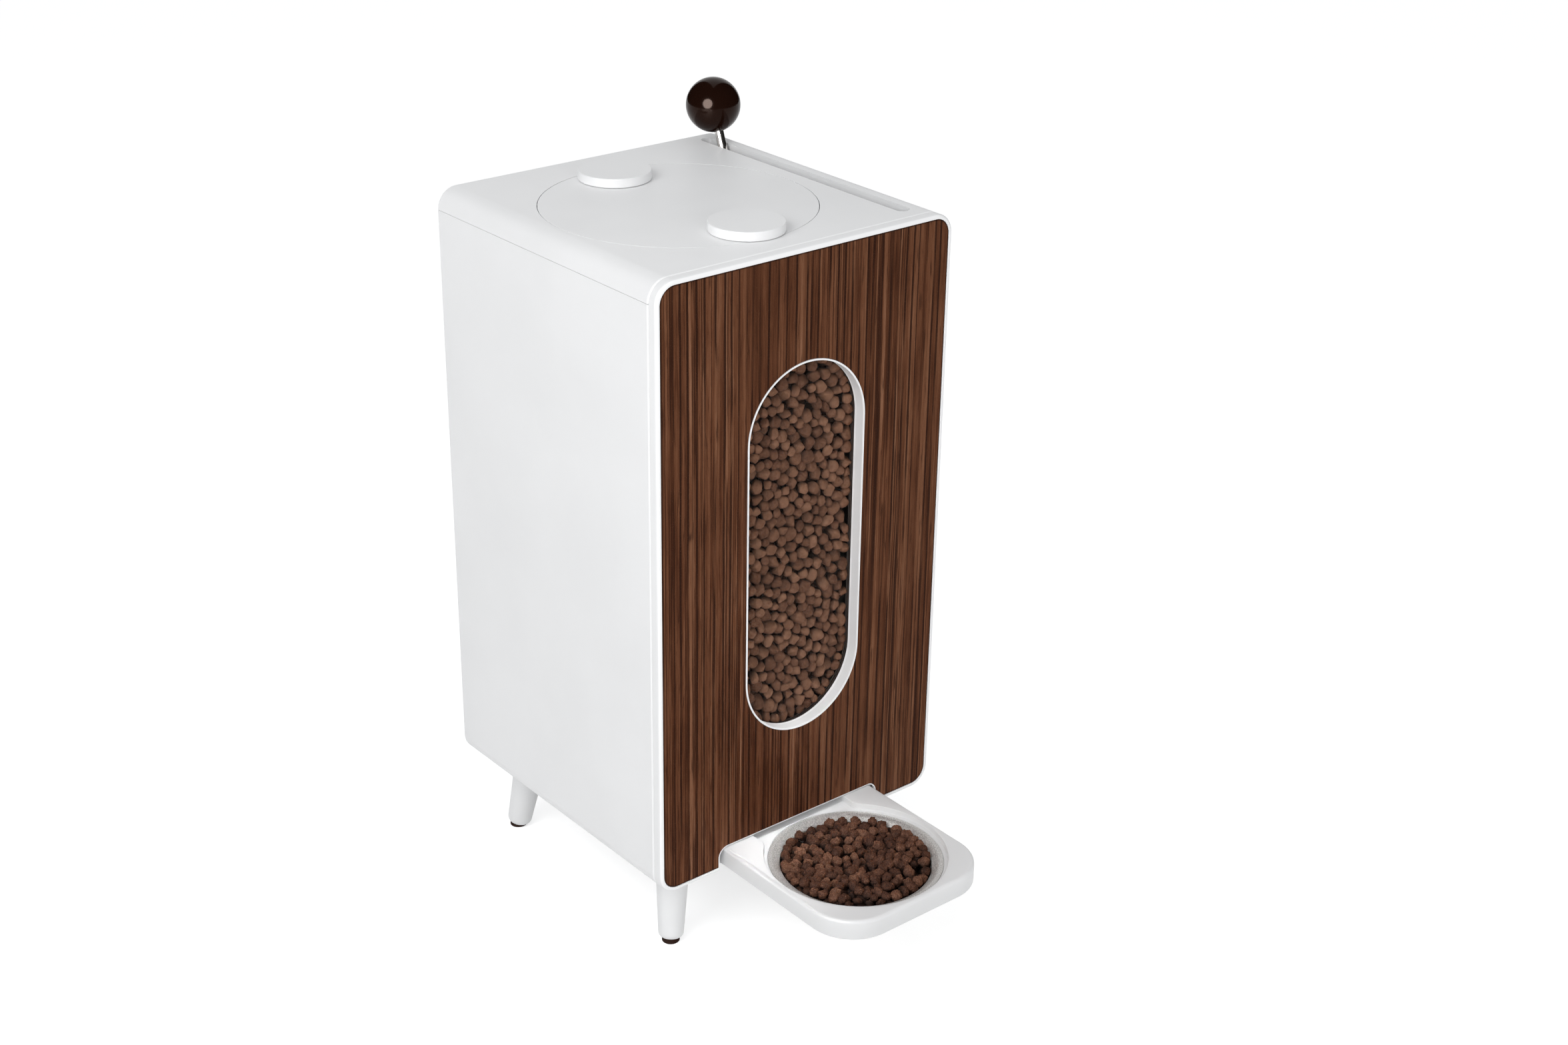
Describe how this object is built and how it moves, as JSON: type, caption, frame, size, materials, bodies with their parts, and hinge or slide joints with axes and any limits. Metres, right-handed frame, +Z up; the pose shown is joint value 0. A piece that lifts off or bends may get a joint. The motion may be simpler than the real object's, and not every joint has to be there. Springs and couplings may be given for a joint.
{
  "type": "dog food storage station",
  "caption": "Tall white kibble cabinet on splayed legs with a walnut front, oval window, lift-off round lid, side lever that turns a metering drum, and a bowl on a sliding tray.",
  "frame": {"origin": "on the floor, midway between the sides and midway between the front of the tray and the back of the lever ball", "axes": "+Z up, +X to the right of someone facing the walnut front, so the front faces -Y"},
  "size_m": [0.33, 0.5032, 0.7349],
  "materials": {
    "white_plastic": "satin white moulding",
    "walnut_veneer": "straight-grained walnut veneer, satin lacquer",
    "clear_pane": "clear polished sheet",
    "dark_rubber": "matt black",
    "seal_rubber": "matt grey",
    "foot_rubber": "matt dark brown",
    "hopper_plastic": "fine moulded smoke grey",
    "gear_plastic": "natural acetal",
    "plated_steel": "zinc-plated",
    "dark_steel": "oiled spring steel",
    "bush_bronze": "sintered bronze",
    "polished_rod": "polished",
    "ball_gloss": "high gloss near-black brown",
    "bowl_steel": "satin stainless"
  },
  "bodies": {
    "cabinet": {"side_shell": "white_plastic", "top_cover": "white_plastic", "lid_ring": "white_plastic", "slot_liner": "white_plastic", "rear_panel": "white_plastic", "rear_panel_screws": "plated_steel", "front_bezel": "white_plastic", "notch_trim": "white_plastic", "walnut_panel": "walnut_veneer", "window_frame": "white_plastic", "window_pane": "clear_pane", "window_gasket": "dark_rubber", "hopper_front_wall": "hopper_plastic", "hopper_walls": "hopper_plastic", "hopper_chute": "hopper_plastic", "drum_housing": "hopper_plastic", "housing_screws": "plated_steel", "gear_plate": "plated_steel", "left_stand": "plated_steel", "stand_screws": "plated_steel", "pivot_pin": "plated_steel", "pivot_ring": "dark_steel", "return_spring": "dark_steel", "stop_bumpers": "dark_rubber", "shaft_bush_left": "bush_bronze", "shaft_bush_right": "bush_bronze", "tray_runner_left": "hopper_plastic", "tray_runner_right": "hopper_plastic", "leg_plates": "plated_steel", "leg_studs": "plated_steel", "leg_front_left": "white_plastic", "leg_front_right": "white_plastic", "leg_rear_left": "white_plastic", "leg_rear_right": "white_plastic", "foot_pad_front_left": "foot_rubber", "foot_pad_front_right": "foot_rubber", "foot_pad_rear_left": "foot_rubber", "foot_pad_rear_right": "foot_rubber"},
    "lever": {"lever_sector": "gear_plastic", "lever_rod": "polished_rod", "lever_ball": "ball_gloss"},
    "drum": {"metering_drum": "hopper_plastic", "drum_shaft": "plated_steel", "drum_pinion": "gear_plastic", "drive_pins": "plated_steel", "shaft_rings": "dark_steel"},
    "tray": {"bowl_tray": "white_plastic"},
    "bowl": {"bowl": "bowl_steel"},
    "lid": {"lid_plate": "white_plastic", "lid_seal": "seal_rubber", "lid_knob_front": "white_plastic", "lid_knob_rear": "white_plastic", "lid_knob_screws": "plated_steel"}
  },
  "joints": [
    {"name": "lever_swing", "type": "hinge", "parent": "cabinet", "child": "lever", "pos_m": [0.132, 0.08537, 0.34434], "axis": [1, 0, 0], "range_deg": [0, 42], "stiffness_Nm_per_rad": 0.6, "springref_deg": -28.65, "deforming": ["return_spring"]},
    {"name": "drum_turn", "type": "hinge", "parent": "cabinet", "child": "drum", "pos_m": [0, 0.01637, 0.17], "axis": [1, 0, 0], "range_deg": [-168, 0]},
    {"name": "tray_slide", "type": "slide", "parent": "cabinet", "child": "tray", "axis": [0, 1, 0], "range_m": [0, 0.177]},
    {"name": "bowl_lift", "type": "slide", "parent": "tray", "child": "bowl", "axis": [0, 0, 1], "range_m": [0, 0.026]},
    {"name": "lid_lift", "type": "slide", "parent": "cabinet", "child": "lid", "axis": [0, 0, 1], "range_m": [0, 0.2]}
  ],
  "couplings": [
    {"joint": "drum_turn", "follows": "lever_swing", "ratio": -4}
  ]
}
